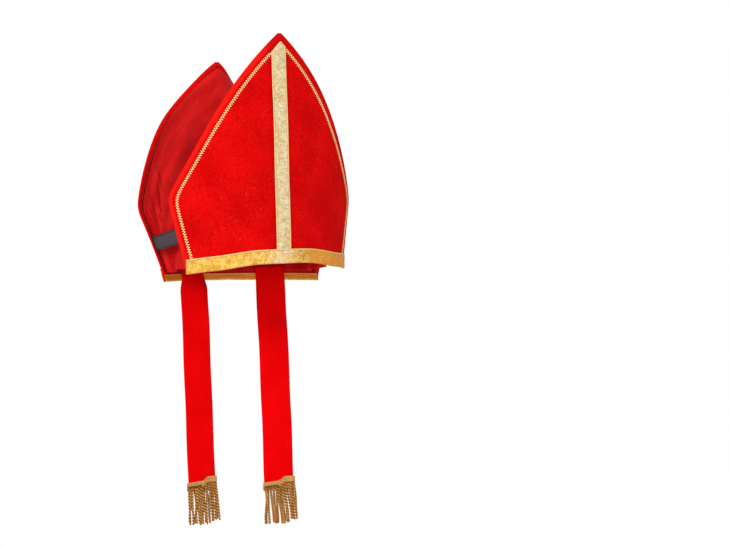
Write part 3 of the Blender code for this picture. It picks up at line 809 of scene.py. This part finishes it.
def brocade_finish(name, width, pale, deep, metallic, speckled=1.0, inner=None, shaded_end_red=0.0):
    """Gold brocade for a ribbon of this width: thin scrolls on a ground of shifting gold.

    flat.x runs across the ribbon in millimetres and flat.y along it. From inner on, the ribbon
    lies inside the hat, where it is painted copper for the red light reflected onto it there.
    Its gold carries painted glinting specks, a hem ribbon has a painted highlight at its
    middle, and the front one is painted redder and darker towards the wearer's left, as painted
    shade.
    """
    drawn = (0.34, 0.24, 0.07, 1.0)
    painted_glint_white = (1.0, 0.93, 0.76, 1.0)
    finish, tree, shader = new_finish(name, 0.38, metallic, 0.40, (1.0, 0.72, 0.36, 1.0))
    flat = cut_flat(tree)
    across, along, _ = split(flat)

    def vector(operation, first, second):
        return add(tree, "VectorMath", {0: first, 1: second}, operation=operation).outputs[0]

    warp = add(tree, "TexNoise", {"Vector": flat, "Scale": 0.22, "Detail": 2.0})
    warp = vector("MULTIPLY", warp.outputs["Color"], (5.0, 5.0, 0.0))
    bent = vector("MULTIPLY", vector("ADD", flat, warp), (0.12, 0.12, 0.0))
    cells = add(tree, "TexVoronoi", {"Vector": bent, "Scale": 1.0, "Randomness": 0.75})
    x, y, _ = split(vector("SUBTRACT", bent, cells.outputs["Position"]))
    handed = add(tree, "SeparateColor", {0: cells.outputs["Color"]}).outputs[0]
    handed = maths("SIGN", maths("SUBTRACT", handed, 0.5))
    turn = times(maths("ARCTAN2", y, x), times(handed, 0.5 / pi))
    coil = maths("FRACT", maths("MULTIPLY_ADD", cells.outputs["Distance"], 3.4, turn))
    scroll = ramp(away_from(coil, 0.5), 0.05, 0.17, 1.0, 0.0)
    scroll = times(scroll, ramp(noise(flat, 0.16), 0.40, 0.60))
    patches = maths("MULTIPLY_ADD", noise(flat, 0.36, 3.0), speckled, noise(flat, 0.10))
    patches = ramp(patches, 0.5 * speckled + 0.36, 0.5 * speckled + 0.66)
    specks = ramp(noise(flat, 0.42, 1.0), 0.54, 0.66, 0.0, 0.50 * speckled)
    marks = maths("MAXIMUM", times(scroll, 0.50), specks)
    # Painted glints: near-white specks where the metal thread would catch the light.
    painted_glints = ramp(noise(flat, 0.46, 1.0), 0.53, 0.64, 0.0, 0.95 * speckled)
    painted_glints = times(painted_glints, ramp(noise(flat, 0.07), 0.42, 0.60))
    if inner:
        # Painted shade: more of the dark marks towards the wearer's left end of the hem.
        marks = times(marks, ramp(along, 135.0, 170.0, 0.6, 2.0))
        to_middle = away_from(along, 127.0)
        # On a hem ribbon: painted glints gather at its middle, with a painted highlight there.
        painted_glints = times(painted_glints, ramp(to_middle, 15.0, 50.0, 1.0, 0.15))
        painted_glints = maths("MAXIMUM", painted_glints, ramp(to_middle, 4.0, 24.0, 0.30, 0.0))
    colour = blend(marks, blend(patches, pale, deep), drawn)
    if inner:
        # Painted shade: the front hem turns copper towards the wearer's left end, away from the
        # key lamp.
        colour = blend(ramp(along, 145.0, 185.0, 0.0, shaded_end_red), colour, COPPER_BOUNCE_AND_SHADE)
    colour = blend(painted_glints, colour, painted_glint_white)
    if inner:
        # Painted reflection: the inner leg is turned copper for the red light that the velour
        # and satin reflect onto it.
        colour = blend(ramp(across, inner - 0.8, inner + 0.8, 0.0, 0.95), colour, COPPER_BOUNCE_AND_SHADE)
    from_edge = maths("MINIMUM", across, maths("SUBTRACT", width, across))
    dots = times(ramp(maths("SINE", times(along, 3.0)), 0.0, 0.8), 0.8)
    dots = times(dots, ramp(away_from(from_edge, 1.7), 0.3, 0.7, 1.0, 0.0))
    colour = blend(dots, colour, drawn)
    colour = blend(ramp(from_edge, 1.0, 1.3, 0.9, 0.0), colour, SELVEDGE)
    height = maths("MULTIPLY_ADD", maths("SINE", times(along, 9.0)), 0.15, scroll)
    height = maths("MULTIPLY_ADD", noise(flat, 0.9), 1.4, height)
    colour_and_bump(shader, colour, height, 0.0004, 0.6)
    return finish


def corded(x, y, width):
    """Relief of a ribbon's corded edges: x across a ribbon of this width, y along it."""
    from_edge = np.minimum(x, width - x)
    cord = SELVEDGE_HEIGHT * bell(from_edge - SELVEDGE_HALF, SELVEDGE_HALF)
    return cord * (1 + 0.25 * np.sin(3900 * y))


for panel in (FRONT, BACK):
    fold = PANEL_WALL / 2 + GAP + RIBBON / 2
    bottom_arc = pi * fold
    whole = HEM_OUTSIDE + bottom_arc + HEM_INSIDE
    hem_brocade = brocade_finish(
        panel.name + "_hem_brocade", whole * 1000, HEM_PALE, HEM_DEEP, 0.3,
        inner=(HEM_OUTSIDE + bottom_arc) * 1000, shaded_end_red=0.75 if panel is FRONT else 0.0,
    )
    down = np.r_[
        np.linspace(0.0, 0.0025, 8), np.linspace(0.0035, HEM_OUTSIDE - 0.001, 14),
        np.linspace(HEM_OUTSIDE, HEM_OUTSIDE + bottom_arc, 14),
        np.linspace(HEM_OUTSIDE + bottom_arc + 0.001, whole, 10),
    ][:, None]
    turn = np.clip((down - HEM_OUTSIDE) / bottom_arc, 0.0, 1.0) * pi
    inner_rise = np.maximum(down - HEM_OUTSIDE - bottom_arc, 0.0) - 0.55 * fold * np.sin(turn)
    rise = np.where(down < HEM_OUTSIDE, HEM_OUTSIDE - down, inner_rise)
    share = np.linspace(-1.0, 1.0, 181)[None, :]
    t = rise - panel.hem_drop * share**2
    s = share * (HEM_HALF + HEM_OVERHANG) + 0 * t
    if panel is FRONT:
        s = s + FRONT_HEM_SHIFT * np.abs(share)
    out = fold * np.cos(turn) + 0.0003 * np.sin(s * 90.0 + panel.side) * (rise > 0.004)
    flat = np.stack(matched(down * 1000, (s + HEM_HALF) * 1000), -1)
    piece = cloth(
        panel.name + "_hem_brocade", on_panel(panel, s, t, out), WOVEN, flat, hem_brocade,
        corded(*np.moveaxis(flat, -1, 0) / 1000, whole), rounds=2, turned=panel is FRONT,
    )
    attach(piece, "root")
    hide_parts(panel.name + "_hem_ribbon")


# The front ribbon: the same woven gold ribbon, narrower and paler, sewn flat up the middle of
# the front panel. Its foot meets the hem ribbon's edge, its top is folded to a point, and it
# is creased at a few heights, each crease a little aside of its middle.

FRONT_RIBBON_TIP = 0.2865
FRONT_RIBBON_TIP_HALF = 0.0008
FRONT_RIBBON_TIP_SLOPE = 0.90
PALE_GOLD = (0.90, 0.75, 0.47, 1.0)
DEEP_GOLD = (0.82, 0.58, 0.25, 1.0)
FOLD_OVER = 0.0019
CREASE = 0.0009
CREASES = (
    (0.0195, 0.0), (0.0551, 0.0020), (0.1036, 0.0030), (0.2130, -0.0020), (0.2570, 0.0030),
)

front_brocade = brocade_finish(
    "front_brocade", FRONT_RIBBON_HALF * 2000, PALE_GOLD, DEEP_GOLD, 0.25, speckled=0.75
)
shoulder = FRONT_RIBBON_TIP - 2 * FRONT_RIBBON_HALF
t = np.r_[
    np.linspace(HEM_OUTSIDE + GAP, shoulder, 190),
    np.linspace(shoulder, FRONT_RIBBON_TIP, 34)[1:],
][:, None]
across = np.r_[
    np.linspace(-1.0, -0.84, 6), np.linspace(-0.78, 0.78, 20), np.linspace(0.84, 1.0, 6)
][None, :]
middle = FRONT_RIBBON_FOOT_SHIFT - FRONT_RIBBON_LEAN * t
slant = FRONT_RIBBON_TIP_SLOPE * (FRONT_RIBBON_TIP - t) + FRONT_RIBBON_TIP_HALF
left = np.maximum(middle - FRONT_RIBBON_HALF, -slant)
right = np.minimum(middle + FRONT_RIBBON_HALF, slant)
s = (left + right) / 2 + across * (right - left) / 2 + 0.00025 * np.sin(t * 46.0)
buckle = 0.00025 * np.sin(t * 130.0)
for height, aside in CREASES:
    crease = FOLD_OVER * bell(t - height - 0.0028, 0.0022) - CREASE * bell(t - height, 0.0012)
    buckle = buckle + crease * bell(s - middle - aside, 0.0060)
seat = PANEL_WALL / 2 + GAP + RIBBON / 2
grid = on_panel(FRONT, s, t, seat + np.maximum(buckle, -0.0004) * (1 - across**4))
x, y = np.broadcast_arrays(s - middle + FRONT_RIBBON_HALF, t)
from_side = (1 - np.abs(across)) * (right - left) / 2
piece = cloth(
    "front_ribbon_brocade", grid, WOVEN, np.stack([x, y], -1) * 1000, front_brocade,
    corded(from_side, y, 1.0), rounds=2,
)
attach(piece, "root")
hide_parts("front_ribbon")


# The elastics: a black woven band across each side gap, sewn to the turned velour of both
# panels. It draws the sides in and lets the hat fit the head.

ELASTIC = 0.0012
ELASTIC_WOVEN = 0.0010
ELASTIC_RIB = 0.00016
ELASTIC_HALF = 0.009
ELASTIC_HEIGHT = 0.0435
ELASTIC_TAB = (0.0042, 0.0079)
BLACK = (0.022, 0.018, 0.022, 1.0)

elastic_weave, tree, shader = new_finish("elastic_weave", 0.7, specular=0.3)
flat = cut_flat(tree)
ribs = add(
    tree, "TexWave", {"Vector": flat, "Scale": 0.36, "Distortion": 0.8, "Detail": 1.0},
    bands_direction="Y",
)
picks = add(tree, "TexWave", {"Vector": flat, "Scale": 0.32}, bands_direction="X")
weave = times(ribs.outputs["Fac"], picks.outputs["Fac"])
# Darker towards the band's long edges.
darker_edges = ramp(away_from(split(flat)[1], 1000 * ELASTIC_HEIGHT), 5.0, 9.0, 0.0, 0.85)
# The lighter threads are partly the band's own dark grey and partly a painted pink reflection
# of the red velour round it.
colour = blend(darker_edges, blend(weave, BLACK, (0.21, 0.17, 0.19, 1.0)), BLACK)
colour_and_bump(shader, colour, weave, 0.0004, 0.6)
for name, mirror in (("elastic_left", 1), ("elastic_right", -1)):
    t = np.linspace(ELASTIC_HEIGHT - ELASTIC_HALF, ELASTIC_HEIGHT + ELASTIC_HALF, 41)
    ends = []
    for panel in (FRONT, BACK):
        inset = np.linspace(*ELASTIC_TAB[::-1], 6)[None, :]
        edge = half_width(panel, t)[:, None]
        seat = -PANEL_WALL / 2 - GAP - ELASTIC / 2
        ends.append(on_panel(panel, mirror * (edge - inset), t[:, None], seat))
    f = np.linspace(0.0, 1.0, 70)[None, 1:-1, None]
    crossing = ends[0][:, -1:] * (1 - f) + ends[1][:, -1:] * f
    grid = np.concatenate([ends[0], crossing, ends[1][:, ::-1]], axis=1)
    gone = summed(np.linalg.norm(np.diff(grid, axis=1), axis=-1).mean(axis=0))
    flat = np.stack(np.meshgrid(gone * 1000, t * 1000), -1)
    piece = cloth(
        name + "_band", grid, ELASTIC_WOVEN, flat, elastic_weave,
        ELASTIC_RIB * np.sin(flat[..., 1] * 2.2), rounds=2, turned=mirror < 0,
    )
    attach(piece, "root")
    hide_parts(name)


# The lappets: two strips of the velour, doubled and turned in, sewn inside the back hem. They
# hang straight down, and each turns a little out of the hem's curve, the right one more.

LAPPET_WALL = 0.0022
LAPPET_HALF = 0.0203
LAPPET_CENTRE = 0.061
LAPPET_TOP = 0.014
LAPPET_SWING_DOWN = 0.030
LAPPET_UNTWIST = 0.026
LAPPET_LOOSE = 0.012
LAPPET_OFF = 0.0030
LAPPET_SWAY = 0.0015
LAPPET_RIPPLE = 0.0003
LAPPET_CURL = 0.0007
LAPPET_SEAT = PANEL_WALL / 2 + 2 * LAYER_GAP + SATIN + LAPPET_WALL / 2
Lappet = namedtuple("Lappet", "side mirror length kept_turn")
LAPPETS = (Lappet("left", 1, 0.2845, 0.80), Lappet("right", -1, 0.2785, 0.15))


def lappet_frame(lappet, height):
    """Middle, across and out directions of a lappet at this height above the back hem."""
    s = lappet.mirror * LAPPET_CENTRE
    top = on_panel(BACK, s, 0.0, -LAPPET_SEAT)
    down = -np.asarray(height, float)
    lost = (1.0 - lappet.kept_turn) * smooth((down + LAPPET_LOOSE) / LAPPET_UNTWIST)
    turn = BACK.hem_bend * s * (1.0 - lost)
    sway = LAPPET_SWAY * np.sin(pi * down / lappet.length)
    sway = sway * smooth(down / (2 * LAPPET_SWING_DOWN))
    sway = sway + LAPPET_OFF * (1.0 - lappet.kept_turn)
    middle = np.stack([top[0] + 0 * down, top[1] - sway, top[2] - down], -1)
    across = np.stack([np.cos(turn), -np.sin(turn), 0 * turn], -1)
    outward = np.stack([np.sin(turn), np.cos(turn), 0 * turn], -1)
    return middle, across, outward


def on_lappet(lappet, x, height, out):
    """Points of a lappet: inside the back panel above the hem, hanging free below it."""
    x, height, out = matched(x, height, out)
    middle, across, outward = lappet_frame(lappet, height)
    hanging = middle + across * x[..., None] + outward * out[..., None]
    sewn = on_panel(BACK, lappet.mirror * LAPPET_CENTRE + x, height, out - LAPPET_SEAT)
    share = smooth((LAPPET_LOOSE - height) / LAPPET_SWING_DOWN)[..., None]
    return sewn * (1 - share) + hanging * share


# This is the panels' velour painted lighter: painted light on the hanging lappets.
lappet_velour_lit_copy = velour_finish(
    "lappet_velour_lit_copy", 0.55, 0.0, (0.93, 0.0016, 0.0026, 1.0), (0.76, 0.0006, 0.0014, 1.0), 0.015
)
for lappet in LAPPETS:
    lowest = -lappet.length + GAP + LAPPET_WALL / 2
    height = np.linspace(LAPPET_TOP, lowest, 130)[:, None]
    x = np.linspace(-1.0, 1.0, 31)[None, :] * (LAPPET_HALF - LAPPET_WALL / 2)
    x = x + LAPPET_RIPPLE * np.sin(height * 57.0 + lappet.mirror) * smooth(-height / 0.05)
    curl = LAPPET_CURL * (x / LAPPET_HALF) ** 2 * smooth(-height / 0.05)
    curl = curl * np.sin(height * 21.0 + lappet.mirror)
    grid = on_lappet(lappet, x, height, curl)
    flat = np.stack(matched(x * 1000 + 300 * lappet.mirror, height * 1000), -1)
    piece = cloth(
        "lappet_velour_lit_copy_" + lappet.side, grid[::-1], LAPPET_WALL, flat[::-1], lappet_velour_lit_copy,
        marks=dict.fromkeys(("from_edge", "from_line", "from_ribbon"), 20.0),
    )
    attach(piece, "root")
    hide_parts("lappet_" + lappet.side)


# The lappet ribbons: gold brocade sewn down the middle of each lappet's outer side, from just
# under the hem to the fringe, with an even red margin on both sides.

LAPPET_RIBBON_HALF = 0.0112
LAPPET_RIBBON_TOP = -0.0040

lappet_brocade = brocade_finish(
    "lappet_brocade", LAPPET_RIBBON_HALF * 2000, (0.97, 0.78, 0.44, 1.0),
    (0.84, 0.50, 0.14, 1.0), 0.3, speckled=0.35,
)
for lappet in LAPPETS:
    height = np.linspace(LAPPET_RIBBON_TOP, -lappet.length + GAP, 130)[:, None]
    across = np.r_[
        np.linspace(-1.0, -0.84, 5), np.linspace(-0.76, 0.76, 14), np.linspace(0.84, 1.0, 5)
    ][None, :]
    x = across * LAPPET_RIBBON_HALF
    ripple = LAPPET_RIPPLE * np.sin(height * 90.0 + lappet.mirror) * (1 - across**2)
    grid = on_lappet(lappet, x, height, LAPPET_WALL / 2 + LAYER_GAP + RIBBON / 2 + ripple)
    x, y = matched(x + LAPPET_RIBBON_HALF, 0.7 * (1 + lappet.mirror) - height)
    piece = cloth(
        "lappet_brocade_" + lappet.side, grid, WOVEN, np.stack([x, y], -1) * 1000,
        lappet_brocade, corded(x, y, 2 * LAPPET_RIBBON_HALF), rounds=2, turned=True,
    )
    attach(piece, "root")
    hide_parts("lappet_ribbon_" + lappet.side)


# The fringes: a braided gold heading wrapped round each lappet's end, straight on the outer
# side, its two ends lapped one above the other on the inner side, with close twisted cords of
# bullion hanging from it. The cords cling together in twos and threes towards their ends.

HEAD_HALF = 0.0215
LAPPED_RISE = 0.0076
HEADING_WALL = 0.0011
HEADING_RIB = 0.00018
HEADING_BULGE = 0.0007
SCALLOP = 0.0006
EDGE_CORD_RADIUS = 0.00062
EDGE_CORD_TWIST = 0.0052
CORD_LENGTH = 0.0538
CORD_RADIUS = 0.00082
PLY_OFFSET = 0.00084
CORD_TWIST = 0.0080
CORD_SPREAD = 0.0050
UP = np.array([0.0, 0.0, 1.0])
CLUMPS = (
    (0, 0.3), (0, 0.3), (1, 3.0), (1, 3.0), (1, 3.0), (2, 5.7), (2, 5.7), (3, 7.4),
    (4, 9.6), (4, 9.6), (4, 9.6),
)

heading_braid, tree, shader = new_finish("heading_braid", 0.40, 0.2, 0.3, GOLD_GLOSS)
flat = cut_flat(tree)
x, y, _ = split(flat)
slanted = maths("MULTIPLY_ADD", maths("PINGPONG", y, 2.0), 1.3, x)
plait = ramp(maths("SINE", times(slanted, 2.1)), -0.5, 0.6)
plait = times(plait, ramp(noise(flat, 0.6), 0.35, 0.60, 0.35, 1.0))
colour = blend(plait, (0.46, 0.15, 0.016, 1.0), (1.0, 0.66, 0.20, 1.0))
colour_and_bump(shader, colour, plait, 0.0004, 0.7)
# The thread colours below are painted light: light where a ply faces out, dark in the shade
# between plies and under the heading.
bullion = thread_finish(
    "bullion_thread", (1.0, 0.60, 0.14, 1.0), (0.24, 0.038, 0.003, 1.0), 0.05, 0.48, 0.88, 0.50,
    root=7.0,
)
edge_cord = thread_finish(
    "edge_cord", (1.0, 0.76, 0.32, 1.0), (0.26, 0.08, 0.012, 1.0), 0.1, 0.0, 0.8, 0.6
)
for lappet in LAPPETS:
    draw = np.random.default_rng(7 + lappet.mirror)
    middle, across, outward = lappet_frame(lappet, -lappet.length)

    def under_lappet(x, y, down):
        """Points round the end of this lappet: across it, out of it and down from it."""
        x, y, down = matched(x, y, down)
        return middle + across * x[..., None] + outward * y[..., None] - down[..., None] * UP

    face = LAPPET_WALL / 2 + 0.0002 + HEADING_WALL / 2
    strips = (
        ("outer", -HEAD_HALF, HEAD_HALF, face, -0.0010, 0.0, 0.0080, 1),
        ("inner", -HEAD_HALF, 0.0020, -face, -0.0026, 0.0018, 0.0030, -1),
        ("lapped", -0.0010, HEAD_HALF, -face - HEADING_WALL, -0.0046, LAPPED_RISE - 0.0020,
         0.0056, -1),
    )
    pieces = []
    plies = []
    axes = []
    for strip, x0, x1, y, top, climb, height, facing in strips:
        x = np.linspace(x0, x1, int((x1 - x0) * 5000))
        bulge = HEADING_BULGE * (strip == "lapped")

        def heading_line(x, share):
            """Points of this strip: share is 0 along its upper edge and 1 along its lower."""
            reach = 0.010 if strip == "lapped" else x1 - x0
            tucked = 1.0 - 0.6 * smooth((np.abs(x) - HEAD_HALF + 0.003) / 0.003)
            out = y * tucked + facing * bulge * np.sin(pi * share)
            lift = climb * smooth((x - x0) / reach)
            return out, top - lift + height * share

        share = np.linspace(0.0, 1.0, 15)[:, None]
        out, down = heading_line(x[None, :], share)
        grid = under_lappet(x[None, :], out, down)
        flat = np.stack(matched(x[None, :] * 1000, share * height * 1000), -1)[::-1]
        weave = HEADING_RIB * np.sin(flat[..., 0] * 3.4) * np.sin(flat[..., 1] * 1.6)
        pieces.append(cloth(
            "heading_" + strip + "_" + lappet.side, grid[::-1], HEADING_WALL, flat,
            heading_braid, weave, rounds=1, turned=facing > 0,
        ))
        x = np.linspace(x0, x1, 200)
        for share in (0.0, 1.0):
            out, down = heading_line(x, share)
            scallop = SCALLOP * np.abs(np.sin(x * 900.0)) * (strip == "outer") * (share == 0.0)
            for start in (0.0, pi):
                twist = x * 2 * pi / EDGE_CORD_TWIST + start
                axes.append(under_lappet(x, out + facing * 0.0005, down - scallop))
                plies.append(under_lappet(
                    x, out + facing * (0.0006 + 0.00045 * np.cos(twist)),
                    down - scallop + 0.00055 * np.sin(twist),
                ))
    pieces.append(tubes(
        "heading_cords_" + lappet.side, plies, outward, EDGE_CORD_RADIUS, edge_cord,
        centres=axes,
    ))

    plies = []
    axes = []
    count = len(CLUMPS)
    pitch = 2 * HEAD_HALF / count
    for layer, y0, start_down in ((0, 0.0014, 0.0060), (1, -0.0018, 0.0006)):
        for k, (clump, clump_middle) in enumerate(CLUMPS):
            aside = 0.20 * pitch * (layer == 0) * (1 if k < 5 else -1)
            x0 = (k + 0.5 - count / 2) * pitch + aside + draw.uniform(-0.0003, 0.0003)
            begin = start_down
            if layer == 1 and x0 > 0.001:
                begin = start_down - LAPPED_RISE + 0.0008
            gathered = (clump_middle + 0.5 - count / 2 + 0.74 * (k - clump_middle)) * pitch
            wide = CORD_SPREAD * ((k + 0.5) / count) ** 1.5
            x1 = gathered + wide + aside + draw.uniform(-0.0006, 0.0006)
            length = CORD_LENGTH - 0.0045 * (clump == 4) - draw.uniform(0.0, 0.0035) - begin
            bow = draw.uniform(-0.0018, 0.0018)
            sway = draw.uniform(-0.0018, 0.0018)
            start = draw.uniform(0.0, 2 * pi)
            f = np.linspace(0.0, 1.0, 84)
            x = x0 + (x1 - x0) * smooth(0.15 + 0.85 * f) + bow * np.sin(1.7 * pi * f)
            y = y0 * (1 - 0.25 * f) + sway * f * f
            down = begin + length * f
            for ply in (0.0, pi):
                twist = down * 2 * pi / CORD_TWIST + ply + start
                off = PLY_OFFSET * (1 - 0.75 * smooth((f - 0.97) / 0.03))
                axes.append(under_lappet(x, y, down))
                plies.append(under_lappet(
                    x + off * np.cos(twist), y + off * np.sin(twist), down
                ))
    pieces.append(tubes(
        "bullion_cords_" + lappet.side, plies, outward, CORD_RADIUS, bullion, centres=axes
    ))
    for piece in pieces:
        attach(piece, "root")
        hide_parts("fringe_" + lappet.side)
